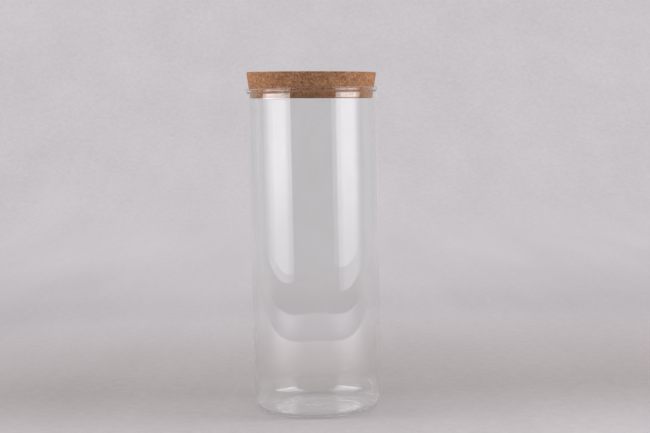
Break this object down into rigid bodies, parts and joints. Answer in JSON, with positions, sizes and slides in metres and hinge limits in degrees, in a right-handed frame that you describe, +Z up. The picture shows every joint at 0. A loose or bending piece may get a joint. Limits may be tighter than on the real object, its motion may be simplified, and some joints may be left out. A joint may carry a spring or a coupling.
{
  "type": "glass storage jar",
  "caption": "Tall straight-sided clear glass jar with a rounded heel and fire-polished lip, closed by a flat tapered cork stopper that lifts out.",
  "frame": {"origin": "centre of the plane that the jar stands on, on the axis of the glass", "axes": "+Z up along the jar's axis; the side that faces the viewer in the picture is -Y, and +X is to the viewer's right"},
  "size_m": [0.1018, 0.1018, 0.2635],
  "materials": {
    "clear_glass": "clear, fire-polished",
    "agglomerated_cork": "matt, pressed granules, sanded"
  },
  "bodies": {
    "jar": {"glass_jar": "clear_glass"},
    "stopper": {"cork_stopper": "agglomerated_cork"}
  },
  "joints": [
    {"name": "stopper_lift", "type": "slide", "parent": "jar", "child": "stopper", "axis": [0, 0, 1], "range_m": [0, 0.12]}
  ]
}
